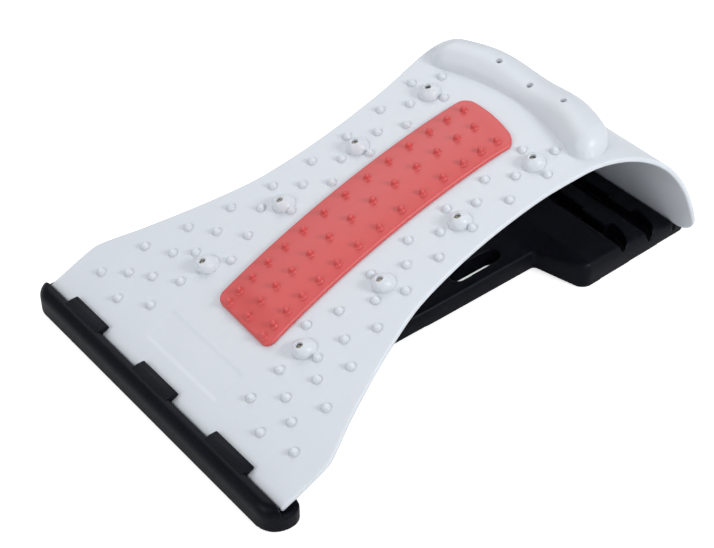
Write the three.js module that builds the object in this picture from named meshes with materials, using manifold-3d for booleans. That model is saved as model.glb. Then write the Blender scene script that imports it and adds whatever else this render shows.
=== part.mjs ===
// Neck stretcher: a black moulded base that carries a white arched board with magnets,
// acupressure studs, a raised crescent pillow and a red rubber pad.
// Millimetres, +Z up, +X from the front foot towards the rear, origin on the floor at mid length.

import * as THREE from 'three';
import { mergeVertices } from 'three/addons/utils/BufferGeometryUtils.js';
import Module from 'manifold-3d';

const wasm = await Module();
wasm.setup();

// Fits shared by all pieces
const seatGap = 0.3;
const overrun = 1;

// Base: overall sizes
const baseLength = 308;
const footHalfWidth = 101.5;
const waistHalfWidth = 39;
const rearHalfWidth = 68.5;
const baseWall = 2.4;
const ribThickness = 2;
const waistRibCount = 4;

// Base: front foot
const footDepth = 20;
const footHeight = 14.6;
const footCornerRadius = 13;
const footReturnRadius = 7;
const footReturnHeight = 9.8;
const footEndFall = 3.2;
const footBarThickness = 7.8;
const footTopRadius = 4.5;
const footTailStart = 25;
const footTailHalfWidth = 79;
const waistStart = 66;

// Base: hooks that hold the board's front edge
const hookReach = 5.2;
const hookTopHeight = 15.4;
const hookNose = 0.8;
const hookPlay = 0.7;
const hookHalfWidth = 14.5;
const hookSpacing = 60.7;
const hookShift = 2.1;

// Base: waist with its two long holes
const waistHeight = 10.5;
const waistShoulder = 4;
const longHoleLength = 34.5;
const longHoleToBlock = 12;
const longHoleInner = 21.6;
const longHoleOuter = 32;

// Base: rear block with the level slots
const rearBlockLength = 90;
const rearFlareLength = 12;
const rearCornerRadius = 9;
const rearEndRadius = 7.5;
const rearPeakSetback = 19;
const rearPeakHeight = 14.5;
const rearEndHeight = 9.2;
const rearShoulder = 6;
const waistFillet = 7;
const lastSlotToEnd = 11.3;
const slotPitch = 20;
const slotCount = 3;
const slotMiddleLength = 9.5;
const slotMiddleHalfWidth = 29.5;
const slotNeckLength = 7.2;
const slotMoonLength = 10.5;
const slotMoonInner = 47.5;
const slotMoonOuter = 67.5;
const slotFloorHeight = 4.2;
const rampDrop = 2.2;
const rampFlat = 1.5;
const rampLip = 0.8;
const rampMiddleHalfWidth = 12.5;
const rampSideInner = 34.5;

// Arched board: its line from the front edge, over the crown, down to the rear edge
const boardThickness = 2.6;
const boardFrontX = 8.6;
const boardFrontZ = 11;
const boardFrontAngle = 24;
const boardRiseHandle = 37;
const crownToRearEnd = 79;
const crownEntryZ = 76;
const crownEntryAngle = 10;
const crownRadius = 52.5;
const boardDropAngle = 68.5;
const boardRearGap = 0.6;
const boardFrontHalfWidth = 98.5;
const boardCornerRadius = 15;
const boardFrontCornerRadius = 1.5;

const sheetRiseStep = 12;
const sheetCrownStep = 6.5;
const sheetLeastStep = 0.8;

// Outline of the sheet: shares of its length, and of its half width at the front
const outlineShares = [
  [0, 1], [0.079, 1], [0.098, 0.988], [0.153, 0.895], [0.2156, 0.801], [0.275, 0.723],
  [0.341, 0.653], [0.418, 0.616], [0.484, 0.604], [0.5435, 0.606], [0.598, 0.617], [0.652, 0.645],
  [0.692, 0.668], [0.741, 0.706], [0.806, 0.752], [0.874, 0.792], [0.94, 0.836], [1, 0.84],
];

// Board: the tongue that drops into the last row of slots
const tongueDepth = 4;
const tongueTipPlay = 5;

// Board: label seat, left bare
const labelStart = 15.5;
const labelEnd = 33;
const labelHalfWidth = 29;
const labelDepth = 0.4;

// Board: magnet bosses and the magnets in them
const bossFirstAt = 60.7;
const bossToPadEnd = 10.2;
const bossRows = 4;
const bossOffset = 39.8;
const bossRadius = 6.1;
const bossHeight = 5.6;
const bossSink = 1.5;
const peepRadius = 1.8;
const bossRoof = 1.9;
const magnetRadius = 3;
const magnetThickness = 3;
const magnetEdge = 0.3;

// Board: acupressure studs, as shares of the sheet's length and of its half width there
const studRadius = 2.3;
const studHeight = 2.6;
const studSink = 1;
const studPlaceShares = [
  [0.056, 0.609], [0.068, 0.822], [0.082, 0.428], [0.096, 0.698], [0.116, 0.589],
  [0.139, 0.454], [0.143, 0.834], [0.164, 0.687], [0.188, 0.602], [0.214, 0.39],
  [0.21, 0.832], [0.234, 0.68], [0.261, 0.506], [0.278, 0.833], [0.308, 0.68],
  [0.335, 0.492], [0.348, 0.83], [0.38, 0.661], [0.412, 0.493], [0.42, 0.824],
  [0.453, 0.647], [0.489, 0.502], [0.489, 0.821], [0.526, 0.645], [0.561, 0.83],
  [0.565, 0.503], [0.599, 0.665], [0.632, 0.833], [0.643, 0.473], [0.673, 0.667],
];

// Board: crescent pillow behind the crown
const pillowToRearEdge = 84.3;
const pillowHalfLength = 60;
const pillowBow = 15;
const pillowHalfWidth = 13;
const pillowHumpHeight = 12.4;
const pillowDipHeight = 10;
const pillowHumpTurnShare = 0.75;
const pillowRows = 20;
const pillowColumns = 8;
const pillowEndRowShare = 0.55;
const pillowLastRowShare = 0.995;
const pillowWall = 2.8;
const pillowSink = 1.2;
const pillowMagnetOffset = 24;
const pillowMagnetLead = 6.9;
const pillowPostRadius = 5.2;
const pillowRoof = 3.4;

// Red pad and the tape under it
const padStart = 50.5;
const padToPillow = 30.1;
const padWidth = 44.5;
const padCornerRadius = 6;
const padSteps = 18;
const padEdgeHeight = 1.8;
const padCrownHeight = 3.4;
const padShiftFront = -4.2;
const padShiftMiddle = 2.6;
const padShiftRear = 1.6;
const tapeThickness = 0.6;
const tapeInset = 3;
const nubRows = 13;
const nubColumnOffset = 15.2;
const nubMargin = 3;
const nubRadius = 1.9;
const nubHeight = 2.2;
const nubSink = 0.8;
const nubCrowding = 0.2;

// Rubber feet under the base
const footPadRadius = 6;
const footPadHeight = 2.4;
const footPadProud = 0.3;
const footPadFrontInset = 17;
const footPadSideInset = 17.5;
const footPadRearInset = 15;
const footPadCupWall = 1.8;

// Faces on round pieces
const studSides = 7;
const nubSides = 6;
const bossSides = 12;
const magnetSides = 12;
const cornerSteps = 5;
const shoulderSteps = 3;

// Places along the length, from the front foot
const rearStart = baseLength - rearBlockLength;
const rearCornerX = rearStart + rearFlareLength;
const rearPeakX = rearStart + rearPeakSetback;
const slotFirstAt = baseLength - lastSlotToEnd - (slotCount - 1) * slotPitch;
const longHoleEnd = rearStart - longHoleToBlock;
const longHoleStart = longHoleEnd - longHoleLength;
const crownEntryX = baseLength - crownToRearEnd;
const baseFrontX = -baseLength / 2;
const onLength = (fromFront) => baseFrontX + fromFront;
const baseFloor = footPadProud;
const hollowFloor = baseFloor - overrun;
const footFloorHeight =
  boardFrontZ - boardThickness * Math.cos(THREE.MathUtils.degToRad(boardFrontAngle)) - seatGap;

// Materials

const finish = (color, roughness, metalness = 0) =>
  new THREE.MeshStandardMaterial({ color, roughness, metalness });

const blackPlastic = () => finish(0x1b1c20, 0.55);
const whitePlastic = () => finish(0xdde4ea, 0.42);
const whitePlug = () => finish(0xd2d9e0, 0.5);
const redRubber = () => finish(0xcf5c5f, 0.5);
const clearTape = () => finish(0xe6e2d8, 0.7);
const magnetMetal = () => finish(0xb4aa9b, 0.35, 0.9);
const darkRubber = () => finish(0x26272a, 0.85);

// Joining and cutting

function solidOf(geometry) {
  const bare = geometry.index ? geometry.clone() : geometry;
  bare.deleteAttribute('normal');
  bare.deleteAttribute('uv');
  const merged = mergeVertices(bare, 1e-4);
  return new wasm.Manifold(new wasm.Mesh({
    numProp: 3,
    vertProperties: new Float32Array(merged.attributes.position.array),
    triVerts: new Uint32Array(merged.index.array),
  }));
}

function geometryOf(solid) {
  const mesh = solid.getMesh();
  const geometry = new THREE.BufferGeometry();
  geometry.setAttribute('position', new THREE.BufferAttribute(new Float32Array(mesh.vertProperties), 3));
  geometry.setIndex(new THREE.BufferAttribute(new Uint32Array(mesh.triVerts), 1));
  geometry.computeVertexNormals();
  return geometry;
}

const joined = (solids) => solids.reduce((whole, next) => whole.add(next));

function piece(name, solid, material) {
  const mesh = new THREE.Mesh(geometryOf(solid), material);
  mesh.name = name;
  return mesh;
}

// Simple solids

function block(lowX, highX, lowY, highY, lowZ, highZ) {
  const geometry = new THREE.BoxGeometry(highX - lowX, highY - lowY, highZ - lowZ);
  geometry.translate((lowX + highX) / 2, (lowY + highY) / 2, (lowZ + highZ) / 2);
  return solidOf(geometry);
}

// A plan outline of [x, y] corners raised from one height to another
function prism(corners, lowZ, highZ) {
  const shape = corners instanceof THREE.Shape
    ? corners
    : new THREE.Shape(corners.map(([x, y]) => new THREE.Vector2(x, y)));
  const geometry = new THREE.ExtrudeGeometry(shape, {
    depth: highZ - lowZ,
    bevelEnabled: false,
    curveSegments: cornerSteps,
  });
  geometry.translate(0, 0, lowZ);
  return solidOf(geometry);
}

// A side outline of [x, z] corners, as wide as asked
function sideProfile(corners, halfWidth) {
  const shape = new THREE.Shape(corners.map(([x, z]) => new THREE.Vector2(x, z)));
  const geometry = new THREE.ExtrudeGeometry(shape, { depth: 2 * halfWidth, bevelEnabled: false });
  geometry.translate(0, 0, -halfWidth);
  geometry.rotateX(Math.PI / 2);
  return solidOf(geometry);
}

// A front outline of [y, z] corners, from one place along X to another
function crossProfile(corners, lowX, highX) {
  const shape = new THREE.Shape(corners.map(([y, z]) => new THREE.Vector2(y, z)));
  const geometry = new THREE.ExtrudeGeometry(shape, { depth: highX - lowX, bevelEnabled: false });
  geometry.applyMatrix4(new THREE.Matrix4().makeBasis(
    new THREE.Vector3(0, 1, 0),
    new THREE.Vector3(0, 0, 1),
    new THREE.Vector3(1, 0, 0),
  ));
  geometry.translate(lowX, 0, 0);
  return solidOf(geometry);
}

// A turned solid along +Z from [radius, height] pairs that start and end on the axis
function turned(profile, sides) {
  const geometry = new THREE.LatheGeometry(profile.map(([r, z]) => new THREE.Vector2(r, z)), sides);
  geometry.rotateX(Math.PI / 2);
  return solidOf(geometry);
}

const rod = (radius, lowZ, highZ, sides) =>
  turned([[0, lowZ], [radius, lowZ], [radius, highZ], [0, highZ]], sides);

// A dome with a sunk foot, as a quarter ellipse turned round its axis
function dome(radius, height, sink, sides, rings) {
  const profile = [[0, -sink], [radius, -sink]];
  for (let ring = 0; ring < rings; ring += 1) {
    const angle = (ring / rings) * (Math.PI / 2);
    profile.push([radius * Math.cos(angle), height * Math.sin(angle)]);
  }
  profile.push([0, height]);
  return turned(profile, sides);
}

// A closed skin between two grids of points, given as functions of row and column
function skin(rows, columns, topAt, underAt) {
  const positions = [];
  for (const at of [topAt, underAt]) {
    for (let row = 0; row <= rows; row += 1) {
      for (let column = 0; column <= columns; column += 1) {
        positions.push(...at(row, column).toArray());
      }
    }
  }
  const perRow = columns + 1;
  const layer = (rows + 1) * perRow;
  const top = (row, column) => row * perRow + column;
  const under = (row, column) => layer + top(row, column);
  const index = [];
  const quad = (a, b, c, d) => index.push(a, b, c, a, c, d);
  for (let row = 0; row < rows; row += 1) {
    for (let column = 0; column < columns; column += 1) {
      quad(top(row, column), top(row + 1, column), top(row + 1, column + 1), top(row, column + 1));
      quad(under(row, column), under(row, column + 1), under(row + 1, column + 1), under(row + 1, column));
    }
    quad(top(row, 0), under(row, 0), under(row + 1, 0), top(row + 1, 0));
    quad(top(row + 1, columns), under(row + 1, columns), under(row, columns), top(row, columns));
  }
  for (let column = 0; column < columns; column += 1) {
    quad(top(0, column + 1), under(0, column + 1), under(0, column), top(0, column));
    quad(top(rows, column), under(rows, column), under(rows, column + 1), top(rows, column + 1));
  }
  const geometry = new THREE.BufferGeometry();
  geometry.setAttribute('position', new THREE.Float32BufferAttribute(positions, 3));
  geometry.setIndex(index);
  return solidOf(geometry);
}

// The arch line

const radians = THREE.MathUtils.degToRad;
const direction = (degrees) => new THREE.Vector2(Math.cos(radians(degrees)), Math.sin(radians(degrees)));

// Height of the rear block's top at a distance from the front
const rearTopAt = (fromFront) =>
  rearPeakHeight + (rearEndHeight - rearPeakHeight) * (fromFront - rearPeakX) / (baseLength - rearPeakX);

function buildArchLine() {
  const front = new THREE.Vector2(onLength(boardFrontX), boardFrontZ);
  const entry = new THREE.Vector2(onLength(crownEntryX), crownEntryZ);
  const rise = new THREE.CubicBezierCurve(
    front,
    front.clone().addScaledVector(direction(boardFrontAngle), boardRiseHandle),
    entry.clone().addScaledVector(direction(crownEntryAngle), -boardRiseHandle),
    entry,
  );
  const centre = entry.clone().addScaledVector(direction(crownEntryAngle - 90), crownRadius);
  const crown = new THREE.EllipseCurve(
    centre.x, centre.y, crownRadius, crownRadius,
    radians(90 + crownEntryAngle), radians(90 - boardDropAngle), true,
  );
  const crownEnd = crown.getPoint(1);
  const drop = direction(-boardDropAngle);
  const lastSlotTop = rearTopAt(slotFirstAt + (slotCount - 1) * slotPitch);
  const dropEnd = lastSlotTop + boardRearGap + boardThickness * drop.x;
  const dropLength = (crownEnd.y - dropEnd) / -drop.y;
  const line = new THREE.CurvePath();
  line.add(rise);
  line.add(crown);
  line.add(new THREE.LineCurve(crownEnd, crownEnd.clone().addScaledVector(drop, dropLength)));
  return line;
}

const archLine = buildArchLine();
const sheetLength = archLine.getLength();

// Places along the sheet
const pillowMiddleAt = sheetLength - pillowToRearEdge;
const padEnd = pillowMiddleAt - padToPillow;
const bossPitch = (padEnd - bossToPadEnd - bossFirstAt) / (bossRows - 1);

// A smooth value between hand-set shares
function between(pairs, at) {
  const places = pairs.map(([place]) => place);
  const values = pairs.map(([, value]) => value);
  const last = places.length - 1;
  if (at <= places[0]) return values[0];
  if (at >= places[last]) return values[last];
  const i = places.findIndex((place) => place > at) - 1;
  const span = places[i + 1] - places[i];
  const t = (at - places[i]) / span;
  const slope = (k) => {
    if (k <= 0 || k >= last) return 0;
    return (values[k + 1] - values[k - 1]) / (places[k + 1] - places[k - 1]);
  };
  const a = values[i];
  const b = values[i + 1];
  return a + (b - a) * t * t * (3 - 2 * t)
    + span * t * (1 - t) * ((1 - t) * slope(i) - t * slope(i + 1));
}

// Half width of the sheet at a distance along it, with its corners rounded
function sheetHalfWidth(along) {
  const plain = boardFrontHalfWidth * between(outlineShares, along / sheetLength);
  const cornerCut = (fromEnd, radius) => {
    if (fromEnd >= radius) return 0;
    const run = radius - Math.max(fromEnd, 0);
    return radius - Math.sqrt(radius * radius - run * run);
  };
  const frontCut = cornerCut(along, boardFrontCornerRadius);
  return plain - frontCut - cornerCut(sheetLength - along, boardCornerRadius);
}

// Place on the sheet: along it, across it, and above its top face
function onSheet(along, across, above) {
  const share = THREE.MathUtils.clamp(along / sheetLength, 0, 1);
  const point = archLine.getPoint(share);
  const tangent = archLine.getTangent(share);
  const past = along - share * sheetLength;
  return new THREE.Vector3(
    point.x + tangent.x * past - tangent.y * above,
    across,
    point.y + tangent.y * past + tangent.x * above,
  );
}

// Frame on the sheet: local Z is the sheet's outward normal, local X runs along it
function sheetFrame(along, across, above = 0) {
  const tangent = archLine.getTangent(along / sheetLength);
  return new THREE.Matrix4().makeBasis(
    new THREE.Vector3(tangent.x, 0, tangent.y),
    new THREE.Vector3(0, 1, 0),
    new THREE.Vector3(-tangent.y, 0, tangent.x),
  ).setPosition(onSheet(along, across, above));
}

const placed = (solid, matrix) => solid.transform(matrix.toArray());

// Rows of the sheet, closer together where it bends or its corners turn
function sheetRows(from, to) {
  const marks = [from];
  const add = (at) => {
    if (at < to && at - marks[marks.length - 1] > sheetLeastStep) marks.push(at);
  };
  const riseEnd = archLine.curves[0].getLength();
  const crownEnd = riseEnd + archLine.curves[1].getLength();
  for (let step = 1; step <= cornerSteps; step += 1) {
    add(boardFrontCornerRadius * (1 - Math.cos((step / cornerSteps) * Math.PI / 2)));
  }
  for (let at = sheetRiseStep / 2; at < riseEnd; at += sheetRiseStep) add(at);
  for (let at = riseEnd; at < crownEnd; at += sheetCrownStep) add(at);
  for (let at = crownEnd; at < sheetLength - boardCornerRadius; at += sheetRiseStep) add(at);
  for (let step = 0; step < cornerSteps; step += 1) {
    add(sheetLength - boardCornerRadius * (1 - Math.sin((step / cornerSteps) * Math.PI / 2)));
  }
  marks.push(to);
  return marks;
}

// A slab on the sheet, between two distances along it and two heights above its top face
function sheetSlab(from, to, halfWidthAt, low, high, middleAt = () => 0, columns = 2) {
  const marks = sheetRows(from, to);
  const heightAt = (limit, along, share) => (typeof limit === 'function' ? limit(along, share) : limit);
  const at = (limit) => (row, column) => {
    const along = marks[row];
    const share = (2 * column) / columns - 1;
    const across = middleAt(along) + share * halfWidthAt(along);
    return onSheet(along, across, heightAt(limit, along, share));
  };
  return skin(marks.length - 1, columns, at(high), at(low));
}

// Arched board

const studPlaces = studPlaceShares.map(([alongShare, acrossShare]) => {
  const along = alongShare * sheetLength;
  return [along, acrossShare * sheetHalfWidth(along)];
});

const bossPlaces = [];
for (let row = 0; row < bossRows; row += 1) {
  for (const side of [1, -1]) {
    bossPlaces.push([bossFirstAt + row * bossPitch, side * bossOffset]);
  }
}

// Pillow: centre line, width and height of the crescent at a share of its half length
const pillowCentreAt = (share) => pillowMiddleAt - pillowBow * share * share;
const pillowRun = pillowHalfLength - pillowHalfWidth;

function pillowEndShare(across) {
  const past = Math.abs(across) - pillowRun;
  if (past <= 0) return 1;
  return Math.sqrt(Math.max(0, 1 - (past / pillowHalfWidth) ** 2));
}

function pillowHeightAt(across) {
  const share = Math.min(Math.abs(across) / pillowRun, 1);
  const hump = Math.sin(share * Math.PI * pillowHumpTurnShare) ** 2;
  return pillowDipHeight + (pillowHumpHeight - pillowDipHeight) * hump;
}

// The crescent drawn in by a wall, from a depth below the sheet's top to its own curved top
function pillowSolid(inset, bottom) {
  const halfLength = (pillowHalfLength - inset) * pillowLastRowShare;
  const place = (row, column) => {
    const gathered = -Math.cos((row / pillowRows) * Math.PI);
    const even = (2 * row) / pillowRows - 1;
    const across = halfLength * (pillowEndRowShare * gathered + (1 - pillowEndRowShare) * even);
    const endShare = pillowEndShare(across * pillowHalfLength / (pillowHalfLength - inset));
    const halfWidth = (pillowHalfWidth - inset) * endShare;
    const share = -Math.cos((column / pillowColumns) * Math.PI);
    const along = pillowCentreAt(across / pillowHalfLength) - share * halfWidth;
    const rise = (pillowHeightAt(across) - inset) * endShare * Math.sqrt(1 - share * share);
    return { along, across, rise };
  };
  const top = (row, column) => {
    const { along, across, rise } = place(row, column);
    return onSheet(along, across, rise);
  };
  const under = (row, column) => {
    const { along, across } = place(row, column);
    return onSheet(along, across, -bottom);
  };
  return skin(pillowRows, pillowColumns, top, under);
}

// The pillow's magnets sit in a straight row, a little in front of its ridge
const pillowMagnetAt = pillowMiddleAt - pillowMagnetLead;
const pillowMagnetPlaces = [pillowMagnetOffset, 0, -pillowMagnetOffset].map((across) => {
  const lead = pillowCentreAt(across / pillowHalfLength) - pillowMagnetAt;
  return [pillowMagnetAt, across, pillowHeightAt(across) * Math.sqrt(1 - (lead / pillowHalfWidth) ** 2)];
});

// Every magnet: where it sits, how high the plastic stands above the sheet there, and the
// plastic left above the magnet
const magnetPlaces = [
  ...bossPlaces.map(([along, across]) => ({ along, across, height: bossHeight, roof: bossRoof })),
  ...pillowMagnetPlaces.map(([along, across, height]) => ({ along, across, height, roof: pillowRoof })),
];
const pocketRadius = magnetRadius + seatGap;
const magnetTop = ({ height, roof }) => height - roof - seatGap;

function magnetPocket({ along, across, height, roof }) {
  const pocket = rod(pocketRadius, -boardThickness - overrun, height - roof, magnetSides);
  const peep = rod(peepRadius, 0, height + overrun, magnetSides);
  return placed(pocket.add(peep), sheetFrame(along, across));
}

// The rear edge carries on down into the last row of slots
const boardTongue = () => sheetSlab(
  sheetLength - boardThickness, sheetLength + tongueDepth,
  () => slotMoonOuter - tongueTipPlay, -boardThickness, 0,
);

function archBoard() {
  let board = sheetSlab(0, sheetLength, sheetHalfWidth, -boardThickness, 0);
  board = board.add(boardTongue());
  board = board.subtract(sheetSlab(labelStart, labelEnd, () => labelHalfWidth, -labelDepth, overrun));
  const stud = dome(studRadius, studHeight, studSink, studSides, 2);
  const boss = dome(bossRadius, bossHeight, bossSink, bossSides, 3);
  const raised = [pillowSolid(0, pillowSink)];
  for (const [along, across] of studPlaces) {
    raised.push(placed(stud, sheetFrame(along, across)), placed(stud, sheetFrame(along, -across)));
  }
  for (const [along, across] of bossPlaces) raised.push(placed(boss, sheetFrame(along, across)));
  board = joined([board, ...raised]);
  let hollow = pillowSolid(pillowWall, boardThickness + overrun);
  for (const [along, across, height] of pillowMagnetPlaces) {
    const post = rod(pillowPostRadius, -boardThickness - 2 * overrun, height, magnetSides);
    hollow = hollow.subtract(placed(post, sheetFrame(along, across)));
  }
  return board.subtract(joined([hollow, ...magnetPlaces.map(magnetPocket)]));
}

// Magnets and the plugs that hold them in from below

function magnetDisc(seat) {
  const top = magnetTop(seat);
  const edge = magnetRadius - magnetEdge;
  const low = top - magnetThickness;
  const disc = turned([
    [0, low], [edge, low], [magnetRadius, low + magnetEdge],
    [magnetRadius, top - magnetEdge], [edge, top], [0, top],
  ], magnetSides);
  return placed(disc, sheetFrame(seat.along, seat.across));
}

function magnetPlug(seat) {
  const top = magnetTop(seat) - magnetThickness - seatGap;
  const plug = rod(magnetRadius, -boardThickness, top, magnetSides);
  return placed(plug, sheetFrame(seat.along, seat.across));
}

// Red pad

const padLength = padEnd - padStart;

// How far the pad's middle lies from the board's middle
function padMiddleAt(along) {
  const t = THREE.MathUtils.clamp((along - padStart) / padLength, 0, 1);
  const middle = (1 - t) * padShiftFront + t * padShiftRear;
  const bow = padShiftMiddle - (padShiftFront + padShiftRear) / 2;
  return middle + 4 * bow * t * (1 - t);
}

function roundedHalfWidth(inset) {
  const radius = padCornerRadius - inset / 2;
  return (along) => {
    const fromEnd = Math.min(along - padStart, padEnd - along) - inset;
    const run = Math.max(0, radius - Math.max(0, fromEnd));
    return padWidth / 2 - inset - radius + Math.sqrt(radius * radius - run * run);
  };
}

function padRows(from, to) {
  const marks = [];
  for (let step = 0; step <= cornerSteps; step += 1) {
    marks.push(from + padCornerRadius * (1 - Math.cos((step / cornerSteps) * Math.PI / 2)));
  }
  const plain = to - from - 2 * padCornerRadius;
  for (let step = 1; step < padSteps; step += 1) {
    marks.push(from + padCornerRadius + (plain * step) / padSteps);
  }
  for (let step = 0; step <= cornerSteps; step += 1) {
    marks.push(to - padCornerRadius * (1 - Math.sin((step / cornerSteps) * Math.PI / 2)));
  }
  return marks;
}

// A strip of the pad's outline drawn in by an inset, between two heights
function padStrip(inset, low, highAt, columns) {
  const halfWidthAt = roundedHalfWidth(inset);
  const marks = padRows(padStart + inset, padEnd - inset);
  const place = (heightAt) => (row, column) => {
    const share = (2 * column) / columns - 1;
    const along = marks[row];
    return onSheet(along, padMiddleAt(along) + share * halfWidthAt(along), heightAt(along, share));
  };
  return skin(marks.length - 1, columns, place(highAt), place(() => low));
}

const padUnder = seatGap + tapeThickness + seatGap;

function padTopAt(along, share) {
  const fromEnd = Math.min(along - padStart, padEnd - along);
  const endShare = Math.sin(Math.min(1, Math.max(0, fromEnd) / (2 * padCornerRadius)) * Math.PI / 2);
  const crown = (padCrownHeight - padEdgeHeight) * (1 - share * share) * endShare;
  return padUnder + padEdgeHeight + crown;
}

function nubPlaces() {
  const places = [];
  const run = padLength - 2 * nubMargin;
  const alongAt = (share) =>
    padStart + nubMargin + run * (share - nubCrowding * Math.sin(2 * Math.PI * share) / (2 * Math.PI));
  for (let row = 0; row <= nubRows; row += 1) {
    for (const side of [1, -1]) places.push([alongAt(row / nubRows), side * nubColumnOffset]);
    if (row < nubRows) places.push([alongAt((row + 0.5) / nubRows), 0]);
  }
  return places;
}

function redPad() {
  const strip = padStrip(0, padUnder, padTopAt, 6);
  const nub = dome(nubRadius, nubHeight, nubSink, nubSides, 2);
  const nubs = nubPlaces().map(([along, across]) => {
    const top = padTopAt(along, across / (padWidth / 2));
    return placed(nub, sheetFrame(along, padMiddleAt(along) + across, top));
  });
  return joined([strip, ...nubs]);
}

const padTape = () => padStrip(tapeInset, seatGap, () => seatGap + tapeThickness, 2);

// Base

// Plan outline with rounded corners, from [x from the front, y, radius] on the +Y side, mirrored
function planShape(halfCorners) {
  const mirrored = halfCorners.map(([x, y, radius]) => [x, -y, radius]).reverse();
  const corners = [...halfCorners, ...mirrored];
  const points = corners.flatMap(([x, y, radius], i) => {
    const at = new THREE.Vector2(onLength(x), y);
    if (radius <= 0) return [at];
    const [beforeX, beforeY] = corners[(i + corners.length - 1) % corners.length];
    const [afterX, afterY] = corners[(i + 1) % corners.length];
    const back = new THREE.Vector2(onLength(beforeX), beforeY).sub(at).normalize();
    const ahead = new THREE.Vector2(onLength(afterX), afterY).sub(at).normalize();
    const halfAngle = Math.acos(THREE.MathUtils.clamp(back.dot(ahead), -1, 1)) / 2;
    const run = radius / Math.tan(halfAngle);
    const toCentre = back.clone().add(ahead).setLength(radius / Math.sin(halfAngle));
    const centre = at.clone().add(toCentre);
    const start = at.clone().addScaledVector(back, run).sub(centre);
    const end = at.clone().addScaledVector(ahead, run).sub(centre);
    const turn = Math.atan2(start.cross(end), start.dot(end));
    return Array.from({ length: cornerSteps + 1 }, (_, step) =>
      start.clone().rotateAround(new THREE.Vector2(), (turn * step) / cornerSteps).add(centre));
  });
  return new THREE.Shape(points);
}

// The same outline for a hollow under it, with only its large corners rounded
const hollowPlan = (halfCorners) =>
  halfCorners.map(([x, y, radius]) => [x, y, radius > 3 * baseWall ? radius : 0]);

// A plan outline raised to a top whose edge is rounded by the shoulder; the top may fall along X
function raisedPlan(halfCorners, lowZ, topZ, shoulder, inset = 0, fallAt = () => 0) {
  const geometry = new THREE.ExtrudeGeometry(planShape(halfCorners), {
    depth: topZ - lowZ - shoulder + overrun,
    bevelEnabled: true,
    bevelThickness: shoulder,
    bevelSize: shoulder,
    bevelOffset: -shoulder - inset,
    bevelSegments: shoulderSteps,
  });
  geometry.translate(0, 0, lowZ - overrun);
  const places = geometry.attributes.position;
  for (let i = 0; i < places.count; i += 1) {
    if (places.getZ(i) > lowZ) places.setZ(i, places.getZ(i) - fallAt(places.getX(i) - baseFrontX));
  }
  const under = block(
    onLength(-overrun), onLength(baseLength + overrun), -footHalfWidth, footHalfWidth,
    lowZ - overrun - 2 * shoulder, lowZ,
  );
  return solidOf(geometry).subtract(under);
}

const footPlan = [
  [0, footHalfWidth, footCornerRadius],
  [footDepth, footHalfWidth, footReturnRadius],
  [footTailStart, footTailHalfWidth, waistFillet],
  [waistStart, waistHalfWidth, waistFillet],
  [waistStart + footDepth, waistHalfWidth, 0],
];

// A quarter turn of an ellipse about a centre, from its low side up to its top
function quarterTurn(centreAcross, centreHeight, reach, rise, steps) {
  return Array.from({ length: steps + 1 }, (_, step) => {
    const angle = (step / steps) * (Math.PI / 2);
    return [centreAcross + reach * Math.cos(angle), centreHeight + rise * Math.sin(angle)];
  });
}

// The bar seen from the front: its top falls to the side returns in a round shoulder
function footFront() {
  const shoulderAt = footHalfWidth - baseWall - footEndFall;
  const drop = footHeight - footReturnHeight;
  const fall = quarterTurn(shoulderAt, footReturnHeight, footEndFall, drop, cornerSteps);
  const half = [[footHalfWidth, baseFloor], [footHalfWidth, footReturnHeight], ...fall];
  return [...half, ...half.map(([y, z]) => [-y, z]).reverse()];
}

// Front foot: a bar with a rounded top, side returns and a floor under the board's front edge
function footShell() {
  const faceHeight = footHeight - footTopRadius;
  const face = quarterTurn(footTopRadius, faceHeight, -footTopRadius, footTopRadius, shoulderSteps);
  const body = sideProfile([
    [0, baseFloor],
    ...face,
    [footBarThickness, footHeight],
    [footBarThickness, footReturnHeight],
    [footDepth, footReturnHeight],
    [footDepth, footFloorHeight],
    [waistStart + footDepth, footFloorHeight],
    [waistStart + footDepth, baseFloor],
  ].map(([x, z]) => [onLength(x), z]), footHalfWidth);
  const trayHalfWidth = boardFrontHalfWidth + 2 * seatGap;
  const tray = block(
    onLength(footBarThickness), onLength(footDepth + overrun),
    -trayHalfWidth, trayHalfWidth, footFloorHeight, footHeight + overrun,
  );
  const plan = prism(planShape(footPlan), baseFloor, footHeight);
  const front = crossProfile(footFront(), onLength(0), onLength(waistStart + footDepth));
  return body.intersect(plan).intersect(front).subtract(tray);
}

function footHollow() {
  const half = boardFrontHalfWidth - footCornerRadius;
  const bar = block(
    onLength(baseWall), onLength(footBarThickness - baseWall), -half, half,
    hollowFloor, footHeight - baseWall,
  );
  const roof = footFloorHeight - baseWall;
  return raisedPlan(hollowPlan(footPlan), hollowFloor, roof, baseWall / 2, baseWall).add(bar);
}

// A hook on the bar's inner edge, reaching over the board
function hook(middle) {
  const slope = Math.tan(radians(boardFrontAngle));
  const underAt = (reach) =>
    boardFrontZ + (footBarThickness + reach - boardFrontX) * slope + hookPlay;
  const start = onLength(footBarThickness);
  const root = onLength(footBarThickness / 2);
  const tip = start + hookReach;
  const bar = sideProfile([
    [root, underAt(0)],
    [start, underAt(0)],
    [tip, underAt(hookReach)],
    [tip, hookTopHeight - hookNose],
    [tip - hookNose, hookTopHeight],
    [start + hookNose, hookTopHeight],
    [root, footHeight],
  ], hookHalfWidth);
  return bar.translate([0, middle, 0]);
}

// Waist: a rounded beam whose rear end flares into the block
const waistPlan = [
  [waistStart, waistHalfWidth, 0],
  [rearStart, waistHalfWidth, waistFillet],
  [rearCornerX, waistHalfWidth + 2 * waistFillet, 0],
  [rearCornerX + waistFillet, waistHalfWidth, 0],
];

const rearPlan = [
  [rearStart, waistHalfWidth, 0],
  [rearCornerX, rearHalfWidth, rearCornerRadius],
  [baseLength, rearHalfWidth, rearEndRadius],
];

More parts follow.
